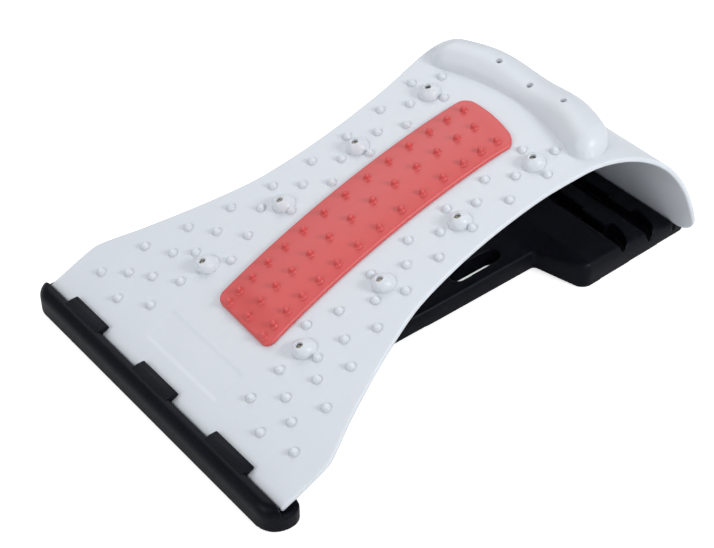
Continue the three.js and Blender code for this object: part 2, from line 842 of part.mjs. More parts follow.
const rearFall = (fromFront) => rearTopAt(rearStart) - rearTopAt(fromFront);

const rearBlock = (lowZ, inset) =>
  raisedPlan(rearPlan, lowZ, rearTopAt(rearStart) - inset, rearShoulder - inset / 2, inset, rearFall);

const slotFronts = Array.from({ length: slotCount }, (_, row) => slotFirstAt + row * slotPitch);

// A tray of thin walls that closes a level's openings from below
function slotTray(front) {
  const end = Math.min(front + slotMoonLength + ribThickness, baseLength - baseWall / 2);
  const half = slotMoonOuter - ribThickness;
  return block(
    onLength(front - ribThickness), onLength(end), -half, half,
    slotFloorHeight - ribThickness, rearTopAt(front) - baseWall / 2,
  );
}

// A slope inside a slot that guides the board's edge down to the slot's front wall
function slotRamp(front, inner, outer) {
  const top = rearTopAt(front) - rampDrop;
  const corners = [
    [onLength(front - ribThickness), slotFloorHeight - ribThickness],
    [onLength(front - ribThickness), top],
    [onLength(front + rampFlat), top],
    [onLength(front + slotNeckLength + ribThickness), slotFloorHeight + rampLip],
    [onLength(front + slotNeckLength + ribThickness), slotFloorHeight - ribThickness],
  ];
  return sideProfile(corners, (outer - inner) / 2).translate([0, (outer + inner) / 2, 0]);
}

const slotRamps = (front) => [
  slotRamp(front, -rampMiddleHalfWidth, rampMiddleHalfWidth),
  slotRamp(front, rampSideInner, slotMoonInner),
  slotRamp(front, -slotMoonInner, -rampSideInner),
];

// One level's openings: a wide middle one, two narrower necks and two half-moon ends
function slotRow(front, lowZ, highZ) {
  const reach = (length) => Math.min(front + length, baseLength - baseWall) - front;
  const start = onLength(front);
  const middle = block(
    start, start + reach(slotMiddleLength), -slotMiddleHalfWidth, slotMiddleHalfWidth, lowZ, highZ,
  );
  const neck = block(start, start + reach(slotNeckLength), -slotMoonInner, slotMoonInner, lowZ, highZ);
  const moons = [1, -1].map((side) => {
    const outline = [[start, side * slotMoonInner]];
    for (let step = 0; step <= cornerSteps; step += 1) {
      const angle = (step / cornerSteps) * (Math.PI / 2);
      outline.push([
        start + reach(slotMoonLength) * Math.cos(angle),
        side * (slotMoonInner + (slotMoonOuter - slotMoonInner) * Math.sin(angle)),
      ]);
    }
    return prism(side > 0 ? outline : outline.reverse(), lowZ, highZ);
  });
  return joined([middle, neck, ...moons]);
}

// A round-ended hole along the waist's side
function longHole(side, lowZ, highZ) {
  const radius = (longHoleOuter - longHoleInner) / 2;
  const middle = side * (longHoleOuter + longHoleInner) / 2;
  const ends = [longHoleStart + radius, longHoleEnd - radius].map((x) =>
    rod(radius, lowZ, highZ, magnetSides).translate([onLength(x), middle, 0]));
  const run = block(
    onLength(longHoleStart + radius), onLength(longHoleEnd - radius),
    middle - radius, middle + radius, lowZ, highZ,
  );
  return joined([run, ...ends]);
}

// Walls round the long holes, so that they open straight through the hollow base
function longHoleWall(side) {
  const radius = (longHoleOuter - longHoleInner) / 2 + ribThickness;
  const middle = side * (longHoleOuter + longHoleInner) / 2;
  const inner = longHoleStart - ribThickness;
  const outer = longHoleEnd + ribThickness;
  return block(onLength(inner), onLength(outer), middle - radius, middle + radius, baseFloor, waistHeight);
}

const footPadFrontX = footPadFrontInset;
const footPadFrontY = footHalfWidth - footPadSideInset;
const footPadRearX = baseLength - footPadRearInset;
const footPadRearY = rearHalfWidth - footPadSideInset;
const footPadPlaces = [
  [footPadFrontX, footPadFrontY], [footPadFrontX, -footPadFrontY],
  [footPadRearX, footPadRearY], [footPadRearX, -footPadRearY],
].map(([x, y]) => [onLength(x), y]);

const footPadTop = footPadHeight + seatGap;

function baseRibs() {
  const top = rearPeakHeight;
  const across = (x) =>
    block(onLength(x), onLength(x) + ribThickness, -footHalfWidth, footHalfWidth, baseFloor, top);
  const alongMiddle = block(
    onLength(0), onLength(slotFirstAt - ribThickness), -ribThickness / 2, ribThickness / 2, baseFloor, top,
  );
  const ribs = [alongMiddle];
  for (let i = 0; i < waistRibCount; i += 1) {
    ribs.push(across(waistStart + (i * (longHoleStart - waistStart)) / waistRibCount));
  }
  ribs.push(across(rearStart));
  for (const front of slotFronts) ribs.push(slotTray(front));
  const cups = footPadPlaces.map(([x, y]) =>
    rod(footPadRadius + seatGap + footPadCupWall, baseFloor, top, magnetSides).translate([x, y, 0]));
  return joined([...ribs, ...cups, longHoleWall(1), longHoleWall(-1)]);
}

function base() {
  const slotTop = rearTopAt(rearStart) + overrun;
  const shell = joined([
    footShell(),
    ...[hookSpacing, 0, -hookSpacing].map((across) => hook(hookShift + across)),
    raisedPlan(waistPlan, baseFloor, waistHeight, waistShoulder),
    rearBlock(baseFloor, 0),
  ]);
  const hollow = joined([
    footHollow(),
    raisedPlan(hollowPlan(waistPlan), hollowFloor, waistHeight - baseWall, waistShoulder / 2, baseWall),
    rearBlock(hollowFloor, baseWall),
  ]).subtract(baseRibs());
  const openings = [longHole(1, hollowFloor, slotTop), longHole(-1, hollowFloor, slotTop)];
  const ramps = slotFronts.slice(0, -1).flatMap(slotRamps);
  const slots = joined(slotFronts.map((front) => slotRow(front, slotFloorHeight, slotTop)));
  openings.push(slots.subtract(joined(ramps)));
  for (const [x, y] of footPadPlaces) {
    openings.push(rod(footPadRadius + seatGap, hollowFloor, footPadTop, magnetSides).translate([x, y, 0]));
  }
  return shell.subtract(hollow).subtract(joined(openings));
}

// Rubber feet, pressed into cups under the base
const rubberFoot = ([x, y]) => rod(footPadRadius, 0, footPadHeight, magnetSides).translate([x, y, 0]);

// The whole stretcher

const stretcher = new THREE.Group();

const baseGroup = new THREE.Group();
baseGroup.add(piece('base', base(), blackPlastic()));
footPadPlaces.forEach((place, i) => {
  baseGroup.add(piece(`rubber_foot_${i + 1}`, rubberFoot(place), darkRubber()));
});

const boardGroup = new THREE.Group();
boardGroup.add(piece('arch_board', archBoard(), whitePlastic()));
boardGroup.add(piece('pad_tape', padTape(), clearTape()));
boardGroup.add(piece('red_pad', redPad(), redRubber()));
magnetPlaces.forEach((place, i) => {
  const kind = i < bossPlaces.length ? 'boss' : 'pillow';
  const number = i < bossPlaces.length ? i + 1 : i + 1 - bossPlaces.length;
  boardGroup.add(piece(`${kind}_magnet_${number}`, magnetDisc(place), magnetMetal()));
  boardGroup.add(piece(`${kind}_magnet_plug_${number}`, magnetPlug(place), whitePlug()));
});

stretcher.add(baseGroup, boardGroup);

export default stretcher;
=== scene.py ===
import math

import bmesh
import bpy
from mathutils import Matrix, Vector
from mathutils.geometry import interpolate_bezier


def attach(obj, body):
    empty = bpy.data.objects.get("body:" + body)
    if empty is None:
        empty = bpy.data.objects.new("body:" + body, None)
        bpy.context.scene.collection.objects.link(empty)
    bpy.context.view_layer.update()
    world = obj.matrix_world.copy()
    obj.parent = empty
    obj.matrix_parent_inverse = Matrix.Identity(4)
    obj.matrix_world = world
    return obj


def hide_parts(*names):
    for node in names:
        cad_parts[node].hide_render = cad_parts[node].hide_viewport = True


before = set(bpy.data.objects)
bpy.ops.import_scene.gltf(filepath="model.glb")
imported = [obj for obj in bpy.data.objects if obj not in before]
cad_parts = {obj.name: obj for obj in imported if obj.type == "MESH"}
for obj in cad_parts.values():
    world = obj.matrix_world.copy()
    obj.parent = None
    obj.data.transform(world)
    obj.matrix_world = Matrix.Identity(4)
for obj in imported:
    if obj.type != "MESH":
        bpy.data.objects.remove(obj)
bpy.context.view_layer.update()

# Camera
# A long lens that looks down on the stretcher from beside its front foot.
camera_data = bpy.data.cameras.new("camera")
camera_data.sensor_width = 36.0
camera_data.lens = 83.24
camera = bpy.data.objects.new("camera", camera_data)
camera.location = (-0.4269, -0.4998, 0.5643)
camera.rotation_euler = (math.radians(49.62), 0.0, math.radians(-38.99))
bpy.context.collection.objects.link(camera)
bpy.context.scene.camera = camera
bpy.context.scene.view_settings.view_transform = "Standard"

# Floor and light
# A pale floor that shows white to the lens, a soft key lamp from the near right, a wide
# weaker one from behind, a faint one from the front, and an even pale sky.
bpy.ops.object.select_all(action="DESELECT")
bpy.ops.mesh.primitive_plane_add(size=8)
floor = bpy.context.object
floor.name = "floor"

floor_paint = bpy.data.materials.new("floor_paint")
floor_paint.use_nodes = True
nodes, links = floor_paint.node_tree.nodes, floor_paint.node_tree.links
nodes.clear()
floor_diffuse = nodes.new("ShaderNodeBsdfDiffuse")
floor_diffuse.inputs["Color"].default_value = (0.84, 0.84, 0.84, 1)
floor_glow = nodes.new("ShaderNodeEmission")
floor_sum = nodes.new("ShaderNodeAddShader")
floor_out = nodes.new("ShaderNodeOutputMaterial")
ray = nodes.new("ShaderNodeLightPath")
seen = nodes.new("ShaderNodeMath")
seen.operation = "MAXIMUM"
lift = nodes.new("ShaderNodeMath")
lift.operation = "MULTIPLY"
lift.inputs[1].default_value = 0.62
links.new(ray.outputs["Is Camera Ray"], seen.inputs[0])
links.new(ray.outputs["Is Transmission Ray"], seen.inputs[1])
links.new(seen.outputs["Value"], lift.inputs[0])
links.new(lift.outputs["Value"], floor_glow.inputs["Strength"])
links.new(floor_diffuse.outputs["BSDF"], floor_sum.inputs[0])
links.new(floor_glow.outputs["Emission"], floor_sum.inputs[1])
links.new(floor_sum.outputs["Shader"], floor_out.inputs["Surface"])
floor.data.materials.append(floor_paint)

sky = bpy.data.worlds.new("sky")
bpy.context.scene.world = sky
sky.use_nodes = True
sky_light = sky.node_tree.nodes["Background"]
sky_light.inputs["Color"].default_value = (0.97, 0.985, 1.0, 1)
sky_ray = sky.node_tree.nodes.new("ShaderNodeLightPath")
sky_level = sky.node_tree.nodes.new("ShaderNodeMapRange")
sky_level.inputs["To Min"].default_value = 0.47
sky_level.inputs["To Max"].default_value = 1.0
sky.node_tree.links.new(sky_ray.outputs["Is Camera Ray"], sky_level.inputs["Value"])
sky.node_tree.links.new(sky_level.outputs["Result"], sky_light.inputs["Strength"])


def lamp(name, place, size, power):
    """A square soft lamp that faces the stretcher."""
    data = bpy.data.lights.new(name, "AREA")
    data.size = size
    data.energy = power
    light = bpy.data.objects.new(name, data)
    light.location = place
    towards = Vector((0, 0, 0.03)) - light.location
    light.rotation_euler = towards.to_track_quat("-Z", "Y").to_euler()
    bpy.context.collection.objects.link(light)


lamp("key_lamp", (0.40, -0.91, 0.72), 0.34, 6.8)
lamp("back_lamp", (0.32, 0.78, 1.05), 0.90, 4.2)
lamp("front_lamp", (-1.00, 0.00, 0.60), 0.70, 3.4)

# Base: outer body
# One hollow moulding in matt black plastic: a narrow round-shouldered waist that flares at
# once into a wide rear block, whose top falls to the rear. Its shoulders grow with its size.
base_under = 0.0003
wall = 0.0024
foot_half, foot_depth, foot_floor = 0.1022, 0.020, 0.0083
front_x, rear_x = -0.1543, 0.154
waist_half, waist_top, waist_shoulder = 0.0391, 0.0105, 0.0047
block_half, block_end_half, block_top, block_end_top = 0.0686, 0.0667, 0.0146, 0.0092
flare_start, flare_end, flare_fillet, flare_round = 0.0642, 0.0792, 0.0028, 0.0068
flare_turn = math.radians(75.5)
rise_start, rise_end = 0.058, 0.082
end_round, end_turn = 0.0045, math.radians(86)
foot_fall, foot_fall_start, foot_fall_run = 0.0023, -0.050, 0.080
tail_stations = [
    (-0.138, 0.0950), (-0.134, 0.0945), (-0.129, 0.079),
    (-0.088, 0.0390), (-0.040, 0.0386), (0.0, waist_half),
]


def smooth_step(value):
    """From 0 to 1 with a soft start and end."""
    value = min(max(value, 0), 1)
    return value * value * (3 - 2 * value)


def body_top(x):
    """Height of the body's top: low at the foot, up over the rear block, down to its end."""
    height = waist_top - foot_fall * smooth_step((foot_fall_start - x) / foot_fall_run)
    height += (block_top - waist_top) * smooth_step((x - rise_start) / (rise_end - rise_start))
    return height - (block_top - block_end_top) * max(x - rise_end, 0) / (rear_x - rise_end)


def body_stations(inset):
    """Places along the body with its half width and top there, drawn in by an inset."""
    stations = [(x, half - inset, body_top(x) - inset) for x, half in tail_stations]
    for step in range(8):
        turn = flare_turn * step / 7
        x = flare_start + (flare_fillet + inset) * math.sin(turn)
        half = waist_half + flare_fillet - (flare_fillet + inset) * math.cos(turn)
        stations.append((x, half, body_top(x) - inset))
    for step in range(10):
        turn = flare_turn * (1 - step / 9)
        x = flare_end - (flare_round - inset) * math.sin(turn)
        half = block_half - flare_round + (flare_round - inset) * math.cos(turn)
        stations.append((x, half, body_top(x) - inset))
    for step in range(1, 4):
        x = flare_end + (rear_x - end_round - flare_end) * step / 4
        half = block_half + (block_end_half - block_half) * step / 4
        stations.append((x, half - inset, body_top(x) - inset))
    for step in range(8):
        turn = end_turn * step / 7
        x = rear_x - end_round + (end_round - inset) * math.sin(turn)
        fall = end_round - (end_round - inset) * math.cos(turn)
        stations.append((x, block_end_half - fall, body_top(x) - fall))
    return stations


def only(piece):
    """One piece selected and active, in object mode."""
    if bpy.context.mode != "OBJECT":
        bpy.ops.object.mode_set(mode="OBJECT")
    bpy.ops.object.select_all(action="DESELECT")
    piece.select_set(True)
    bpy.context.view_layer.objects.active = piece
    return piece


def settle(piece, name):
    """The piece keeps its place in its mesh, with its object at the origin."""
    only(piece)
    bpy.ops.object.transform_apply(location=True, rotation=True, scale=True)
    piece.name = name
    piece.data.name = name
    return piece


def block(name, low, high):
    """A closed block between two corners."""
    bpy.ops.object.select_all(action="DESELECT")
    middle = (Vector(low) + Vector(high)) / 2
    bpy.ops.mesh.primitive_cube_add(size=1, location=middle, scale=Vector(high) - Vector(low))
    return settle(bpy.context.object, name)


def pick(piece, kind, test):
    """In edit mode, the faces or edges that pass a test are selected."""
    only(piece)
    bpy.ops.object.mode_set(mode="EDIT")
    bpy.ops.mesh.select_mode(type="FACE" if kind == "faces" else "EDGE")
    bpy.ops.mesh.select_all(action="DESELECT")
    shape = bmesh.from_edit_mesh(piece.data)
    shape.normal_update()
    for part in getattr(shape, kind):
        if test(part):
            part.select_set(True)
    bmesh.update_edit_mesh(piece.data)


def round_edges(piece, test, offset, segments):
    """The edges that pass a test are bevelled round."""
    pick(piece, "edges", test)
    bpy.ops.mesh.bevel(
        offset=offset, segments=segments, affect="EDGES", profile=0.5, clamp_overlap=True,
    )
    bpy.ops.object.mode_set(mode="OBJECT")


def upright_at(x, reach=0.0015):
    """A test for the upright edges at a place along X."""
    def test(edge):
        a, b = (v.co for v in edge.verts)
        near = abs(a.x - x) < reach and abs(b.x - x) < reach
        return near and abs(a.y - b.y) < 1e-5 and abs(a.z - b.z) > 1e-3
    return test


def beam(name, stations, low):
    """A round-shouldered beam: its end face is extruded and resized from station to station."""
    (x, half, top), (next_x, _, _) = stations[:2]
    piece = block(name, (x, -half, low), (next_x, half, top))

    def long_top(edge):
        a, b = (v.co for v in edge.verts)
        return min(a.z, b.z) > top - 1e-6 and abs(a.x - b.x) > 1e-5

    round_edges(piece, long_top, waist_shoulder, 7)
    pick(piece, "faces", lambda face: face.normal.x > 0.9)
    for x, next_half, next_top in stations[1:]:
        if x > next_x:
            bpy.ops.mesh.extrude_region_move(TRANSFORM_OT_translate={"value": (x - next_x, 0, 0)})
        grow = (1, next_half / half, (next_top - low) / (top - low))
        bpy.ops.transform.resize(value=grow, center_override=(0, 0, low))
        next_x, half, top = x, next_half, next_top
    bpy.ops.object.mode_set(mode="OBJECT")
    return piece


def combine(piece, other, operation):
    """The other shape is joined to the piece or cut out of it, and is then gone."""
    only(piece)
    cut = piece.modifiers.new("combine", "BOOLEAN")
    cut.operation = operation
    cut.solver = "MANIFOLD"
    cut.object = other
    bpy.ops.object.modifier_apply(modifier=cut.name)
    bpy.data.objects.remove(other)


base = beam("base_moulding", body_stations(0.0), base_under)

# Base: front foot
# A plate with round corners, moulded in one with the body: a well rounded bar along its
# front, a low wall at either side, and between them a flat tray for the board's edge.
bar_thickness, bar_height, bar_round = 0.0078, 0.0146, 0.0056
return_height, tray_half = 0.0084, 0.0991
front_corner, return_corner, tray_corner = 0.0115, 0.007, 0.003
cut_high = 0.03

foot = block("foot", (front_x, -foot_half, base_under), (front_x + foot_depth, foot_half, bar_height))
round_edges(foot, upright_at(front_x), front_corner, 12)
round_edges(foot, upright_at(front_x + foot_depth), return_corner, 8)
round_edges(foot, lambda edge: min(v.co.z for v in edge.verts) > bar_height - 1e-6, bar_round, 8)
behind_bar = block(
    "behind_bar", (front_x + bar_thickness, -foot_half - wall, return_height),
    (front_x + foot_depth + wall, foot_half + wall, cut_high),
)
tray = block(
    "tray", (front_x + bar_thickness, -tray_half, foot_floor),
    (front_x + foot_depth + wall, tray_half, cut_high),
)
round_edges(tray, upright_at(front_x + bar_thickness), tray_corner, 6)
combine(foot, behind_bar, "DIFFERENCE")
combine(foot, tray, "DIFFERENCE")
combine(base, foot, "UNION")

# Base: hollow underside
# The moulding is an open shell of even wall, stiffened by thin ribs, with a tray of thin
# walls below each row of slots and a cup round each rubber foot.
rib, cut_low = 0.002, -0.002
plate_hollow_half, plate_hollow_end = 0.086, -0.1335
bar_hollow_half, bar_hollow_roof = 0.084, 0.0039
hollow = beam("hollow", body_stations(wall), cut_low)
plate_hollow = block(
    "plate_hollow", (front_x + wall, -plate_hollow_half, cut_low),
    (plate_hollow_end, plate_hollow_half, foot_floor - wall),
)
bar_hollow = block(
    "bar_hollow", (front_x + wall, -bar_hollow_half, cut_low),
    (front_x + bar_thickness - wall, bar_hollow_half, bar_height - bar_hollow_roof),
)
combine(hollow, plate_hollow, "UNION")
combine(hollow, bar_hollow, "UNION")

slot_fronts = [0.1027, 0.1227, 0.1427]
slot_floor, slot_outer = 0.0042, 0.0671
slot_tray_length = 0.0125
long_hole_start, long_hole_end, long_hole_inner, long_hole_outer = 0.0175, 0.052, 0.0216, 0.032
rib_top, first_rib, last_rib = 0.02, -0.088, 0.064
ribs = [block("rib", (front_x, -rib / 2, base_under), (slot_fronts[0] - rib, rib / 2, rib_top))]
rib_places = [first_rib + step * (long_hole_start - first_rib) / 4 for step in range(4)]
for x in rib_places + [last_rib]:
    ribs.append(block("rib", (x, -foot_half, base_under), (x + rib, foot_half, rib_top)))
for front in slot_fronts:
    ribs.append(block(
        "slot_tray", (front - rib, -slot_outer + rib, slot_floor - rib),
        (min(front + slot_tray_length, rear_x - wall / 2), slot_outer - rib, rib_top),
    ))
for side in (1, -1):
    edges = sorted((side * (long_hole_inner - rib), side * (long_hole_outer + rib)))
    ribs.append(block(
        "hole_wall", (long_hole_start - rib, edges[0], base_under),
        (long_hole_end + rib, edges[1], rib_top),
    ))


def cylinder(name, sides, radius, depth, place, scale=(1, 1, 1), turn=0):
    """A round bar about Z, or turned about X."""
    bpy.ops.object.select_all(action="DESELECT")
    bpy.ops.mesh.primitive_cylinder_add(
        vertices=sides, radius=radius, depth=depth, location=place, scale=scale,
        rotation=(turn, 0, 0),
    )
    return settle(bpy.context.object, name)


foot_places = [(-0.137, 0.084), (-0.137, -0.084), (0.139, 0.051), (0.139, -0.051)]
round_sides = 40
cup_outer, cup_inner, cup_depth, cup_middle = 0.0081, 0.0063, 0.0047, 0.00035
for x, y in foot_places:
    cup_place = (x, y, base_under + rib_top / 2)
    ribs.append(cylinder("cup", round_sides, cup_outer, rib_top, cup_place))
for part in ribs:
    combine(hollow, part, "DIFFERENCE")
combine(base, hollow, "DIFFERENCE")

# Base: openings
# Two long holes with drafted walls go right through the waist. Each row of slots has a
# wide middle, two narrower necks and half-moon ends; slopes inside guide the board's edge.
hole_draft, hole_draft_half, hole_roundness = 0.0010, 0.017, 0.98
radius = (long_hole_outer - long_hole_inner) / 2
middle_x = (long_hole_start + long_hole_end) / 2
for side in (1, -1):
    middle_y = side * (long_hole_inner + long_hole_outer) / 2
    hole = block(
        "hole", (long_hole_start, middle_y - radius, cut_low),
        (long_hole_end, middle_y + radius, rib_top),
    )
    round_edges(hole, upright_at(long_hole_start), radius * hole_roundness, 10)
    round_edges(hole, upright_at(long_hole_end), radius * hole_roundness, 10)
    pick(hole, "faces", lambda face: face.normal.z < -0.9)
    draft = (1 - hole_draft / hole_draft_half, 1 - hole_draft / radius, 1)
    bpy.ops.transform.resize(value=draft, center_override=(middle_x, middle_y, 0))
    bpy.ops.object.mode_set(mode="OBJECT")
    combine(base, hole, "DIFFERENCE")

middle_length, middle_half = 0.0095, 0.0295
neck_length, moon_length, moon_inner = 0.0072, 0.0122, 0.0470
neck_half = moon_inner + 1e-4


def slot_end(front, length):
    """A slot runs back from its front edge, at most up to the rear wall."""
    return min(front + length, rear_x - wall)


def trim(piece, place, facing):
    """What lies beyond a plane is cut off, and the cut is closed."""
    only(piece)
    bpy.ops.object.mode_set(mode="EDIT")
    bpy.ops.mesh.select_all(action="SELECT")
    bpy.ops.mesh.bisect(plane_co=place, plane_no=facing, use_fill=True, clear_outer=True)
    bpy.ops.object.mode_set(mode="OBJECT")


for front in slot_fronts:
    slots = block(
        "slots", (front, -middle_half, slot_floor),
        (slot_end(front, middle_length), middle_half, cut_high),
    )
    neck = block(
        "neck", (front, -neck_half, slot_floor),
        (slot_end(front, neck_length), neck_half, cut_high),
    )
    combine(slots, neck, "UNION")
    for side in (1, -1):
        moon = cylinder(
            "moon", 72, 1, cut_high - slot_floor,
            (front, side * moon_inner, (cut_high + slot_floor) / 2),
            (slot_end(front, moon_length) - front, slot_outer - moon_inner, 1),
        )
        trim(moon, (front, 0, 0), (-1, 0, 0))
        trim(moon, (0, side * moon_inner, 0), (0, -side, 0))
        combine(slots, moon, "UNION")
    combine(base, slots, "DIFFERENCE")

ramp_tops, ramp_drop = (0.0131, 0.0116), 0.0020
ramp_half, ramp_inner = 0.0125, 0.0345
ramp_radius, ramp_set_back, ramp_toe = 0.0090, 0.0012, 0.0006
for front, top in zip(slot_fronts, ramp_tops):
    spans = ((-ramp_half, ramp_half), (ramp_inner, moon_inner), (-moon_inner, -ramp_inner))
    scoop_place = (front + ramp_radius + ramp_set_back, 0, slot_floor + ramp_radius + ramp_toe)
    for low_y, high_y in spans:
        ramp = block(
            "ramp", (front - rib, low_y, slot_floor - rib),
            (front + neck_length + rib, high_y, top - ramp_drop),
        )
        scoop = cylinder("scoop", 64, ramp_radius, 0.2, scoop_place, turn=math.pi / 2)
        combine(ramp, scoop, "DIFFERENCE")
        combine(base, ramp, "UNION")

for x, y in foot_places:
    cup_hole = cylinder("cup_hole", round_sides, cup_inner, cup_depth, (x, y, cup_middle))
    combine(base, cup_hole, "DIFFERENCE")

# Base: moulded softness
# The whole moulding is recast as one skin and smoothed a little, which rounds every edge
# as the real mould does.
most_faces = 84000
only(base)
recast = base.modifiers.new("recast", "REMESH")
recast.mode = "VOXEL"
recast.voxel_size = 0.0006
bpy.ops.object.modifier_apply(modifier=recast.name)
soften = base.modifiers.new("soften", "SMOOTH")
soften.factor = 0.5
soften.iterations = 5
bpy.ops.object.modifier_apply(modifier=soften.name)
thin_out = base.modifiers.new("thin_out", "DECIMATE")
thin_out.ratio = min(1.0, most_faces / max(len(base.data.polygons), 1))
bpy.ops.object.modifier_apply(modifier=thin_out.name)
bpy.ops.object.shade_smooth()

# Base: hooks
# Three flat tabs stand on the bar's inner edge and lie over the board's front edge, which
# slips in under them. They sit a little to one side of the middle.
sheet_front, sheet_front_angle = Vector((-0.1454, 0.0110)), 24
hook_half, hook_spacing, hook_shift = 0.0145, 0.0607, 0.0021
hook_root, hook_rise, hook_tip = -0.1495, -0.1447, -0.1410
hook_foot, hook_top, hook_play, hook_nose, hook_edge = 0.009, 0.0156, 0.0010, 0.0012, 0.00045
hook_lift = 0.0002
front_tilt = math.radians(sheet_front_angle)
over_board = sheet_front + hook_play * Vector((-math.sin(front_tilt), math.cos(front_tilt)))
hook_slope = math.atan2(hook_top - bar_height + hook_lift, hook_rise - hook_root)


def at_nose(edge):
    """The upper edge at a hook's tip."""
    return all(v.co.x > hook_tip - 1e-5 and v.co.z > hook_top - 1e-5 for v in edge.verts)


def sharp_and_free(edge):
    """The sharp edges of a hook, apart from those inside the bar."""
    return edge.calc_face_angle(0) > 0.6 and min(v.co.x for v in edge.verts) > hook_root + 1e-4


hooks = []
for across in (hook_spacing, 0, -hook_spacing):
    middle = hook_shift + across
    hook = block(
        "hook", (hook_root, middle - hook_half, hook_foot), (hook_tip, middle + hook_half, hook_top),
    )
    trim(hook, (over_board.x, 0, over_board.y), (math.sin(front_tilt), 0, -math.cos(front_tilt)))
    trim(hook, (hook_rise, 0, hook_top), (-math.sin(hook_slope), 0, math.cos(hook_slope)))
    round_edges(hook, at_nose, hook_nose, 5)
    round_edges(hook, sharp_and_free, hook_edge, 2)
    hooks.append(hook)
only(base)
for hook in hooks:
    hook.select_set(True)
bpy.ops.object.join()
bpy.ops.object.shade_smooth_by_angle(angle=math.radians(40))

# Base: finish
# Black plastic straight from the mould, with a fine grain that dulls its gloss and a faint
# bluish cast.


def plastic(name, color, roughness, grain_size, grain_depth, gloss=0.5, mottle=0.06):
    """A moulded plastic: fine grain in the surface and faint unevenness of tone and gloss."""
    material = bpy.data.materials.new(name)
    material.use_nodes = True
    nodes, links = material.node_tree.nodes, material.node_tree.links
    shader = nodes["Principled BSDF"]
    shader.inputs["Specular IOR Level"].default_value = gloss
    place = nodes.new("ShaderNodeTexCoord")
    grain = nodes.new("ShaderNodeTexNoise")
    grain.inputs["Scale"].default_value = 1 / grain_size
    grain.inputs["Detail"].default_value = 3
    links.new(place.outputs["Object"], grain.inputs["Vector"])
    bump = nodes.new("ShaderNodeBump")
    bump.inputs["Distance"].default_value = grain_depth
    bump.inputs["Strength"].default_value = 1.0
    links.new(grain.outputs["Fac"], bump.inputs["Height"])
    links.new(bump.outputs["Normal"], shader.inputs["Normal"])
    cloud = nodes.new("ShaderNodeTexNoise")
    cloud.inputs["Scale"].default_value = 45
    cloud.inputs["Detail"].default_value = 5
    links.new(place.outputs["Object"], cloud.inputs["Vector"])
    both = nodes.new("ShaderNodeMath")
    both.operation = "MULTIPLY"
    for slot, noise in enumerate((cloud, grain)):
        tone = nodes.new("ShaderNodeMapRange")
        tone.inputs["From Min"].default_value = 0.3
        tone.inputs["From Max"].default_value = 0.7
        tone.inputs["To Min"].default_value = 1 - mottle
        tone.inputs["To Max"].default_value = 1 + mottle
        links.new(noise.outputs["Fac"], tone.inputs["Value"])
        links.new(tone.outputs["Result"], both.inputs[slot])
    tint = nodes.new("ShaderNodeVectorMath")
    tint.operation = "SCALE"
    tint.inputs[0].default_value = color
    links.new(both.outputs["Value"], tint.inputs["Scale"])
    links.new(tint.outputs["Vector"], shader.inputs["Base Color"])
    gloss_range = nodes.new("ShaderNodeMapRange")
    gloss_range.inputs["To Min"].default_value = roughness - 0.05
    gloss_range.inputs["To Max"].default_value = roughness + 0.05
    links.new(cloud.outputs["Fac"], gloss_range.inputs["Value"])
    links.new(gloss_range.outputs["Result"], shader.inputs["Roughness"])
    return material


def dress(piece, material):
    """The piece wears one material all over."""
    piece.data.materials.clear()
    piece.data.materials.append(material)
    for face in piece.data.polygons:
        face.material_index = 0


base_black = plastic(
    "base_black", (0.0026, 0.0026, 0.0052), roughness=0.38,
    grain_size=0.0011, grain_depth=0.00011, gloss=0.13, mottle=0.35,
)
black_shader = base_black.node_tree.nodes["Principled BSDF"]
black_shader.inputs["Specular Tint"].default_value = (0.80, 0.85, 1.0, 1)
dress(base, base_black)
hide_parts("base")
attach(base, "base")

# Rubber feet
# Four round anti-slip feet of dark rubber, pressed into cups under the base: a flat sole
# with a groove round it and a rounded edge.
foot_rubber = plastic(
    "foot_rubber", (0.03, 0.03, 0.032), roughness=0.75,
    grain_size=0.0006, grain_depth=0.00004, gloss=0.3, mottle=0.15,
)
sole_profile = [
    (0.0057, 0.0024), (0.0060, 0.0021), (0.0060, 0.0005), (0.0057, 0.0), (0.0046, 0.0),
    (0.0044, 0.0005), (0.0036, 0.0005), (0.0034, 0.0), (0.0006, 0.0),
]


def turned(name, profile, sides, closed_ends=True):
    """A round solid about Z: a ring is extruded and resized along (radius, height) pairs."""
    bpy.ops.object.select_all(action="DESELECT")
    radius, height = profile[0]
    bpy.ops.mesh.primitive_circle_add(
        vertices=sides, radius=radius, location=(0, 0, height),
        fill_type="NGON" if closed_ends else "NOTHING",
    )
    piece = settle(bpy.context.object, name)
    bpy.ops.object.mode_set(mode="EDIT")
    bpy.ops.mesh.select_mode(type="EDGE")
    bpy.ops.mesh.select_all(action="SELECT")
    if closed_ends:
        shape = bmesh.from_edit_mesh(piece.data)
        for face in shape.faces:
            face.select_set(False)
        for edge in shape.edges:
            edge.select_set(True)
        bmesh.update_edit_mesh(piece.data)
    for next_radius, next_height in profile[1:]:
        up = (0, 0, next_height - height)
        bpy.ops.mesh.extrude_edges_move(TRANSFORM_OT_translate={"value": up})
        grow = next_radius / radius
        bpy.ops.transform.resize(value=(grow, grow, 1), center_override=(0, 0, 0))
        radius, height = next_radius, next_height
    if closed_ends:
        bpy.ops.mesh.edge_face_add()
    else:
        bpy.ops.mesh.select_all(action="SELECT")
        bpy.ops.mesh.remove_doubles(threshold=1e-6)
    bpy.ops.mesh.select_all(action="SELECT")
    bpy.ops.mesh.normals_make_consistent(inside=False)
    bpy.ops.object.mode_set(mode="OBJECT")
    return piece


